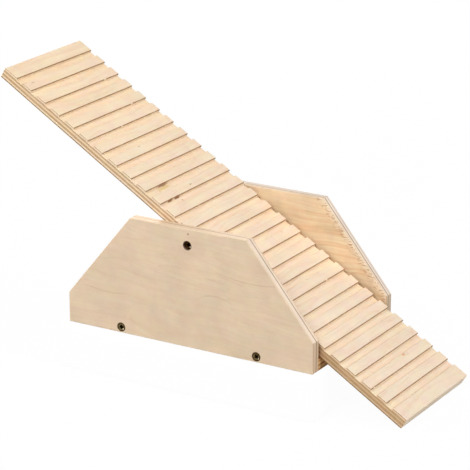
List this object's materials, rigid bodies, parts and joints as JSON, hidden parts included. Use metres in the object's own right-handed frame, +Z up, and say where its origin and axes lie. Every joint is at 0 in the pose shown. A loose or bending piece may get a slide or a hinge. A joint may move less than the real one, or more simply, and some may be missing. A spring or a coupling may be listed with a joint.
{
  "type": "hamster seesaw",
  "caption": "Plywood seesaw for a hamster: a long grooved plank tilts between two low hexagonal side plates on a flat base board.",
  "frame": {"origin": "middle of the base board's underside, in the plane that the two side plates stand on", "axes": "+X along the side plates towards the plank's low end, +Y from the front plate to the back plate, +Z up"},
  "size_m": [0.2585, 0.0908, 0.1625],
  "materials": {
    "plate_birch": "sanded raw birch plywood, tan face with pale cut edges",
    "plank_birch": "sanded raw birch plywood, pale face, cross grooves and brown edge plies",
    "screw_steel": "dull zinc plated steel",
    "washer_nylon": "natural nylon"
  },
  "bodies": {
    "stand": {"base_board": "plate_birch", "side_plate_front": "plate_birch", "side_plate_back": "plate_birch", "base_screw_front_left": "screw_steel", "base_screw_front_right": "screw_steel", "base_screw_back_left": "screw_steel", "base_screw_back_right": "screw_steel"},
    "tilting_plank": {"plank": "plank_birch", "pivot_screw_front": "screw_steel", "pivot_screw_back": "screw_steel", "spacer_washer_front": "washer_nylon", "spacer_washer_back": "washer_nylon"}
  },
  "joints": [
    {"name": "plank_tilt", "type": "hinge", "parent": "stand", "child": "tilting_plank", "pos_m": [0, 0, 0.059], "axis": [0, 1, 0], "range_deg": [-63.24, 0]}
  ]
}
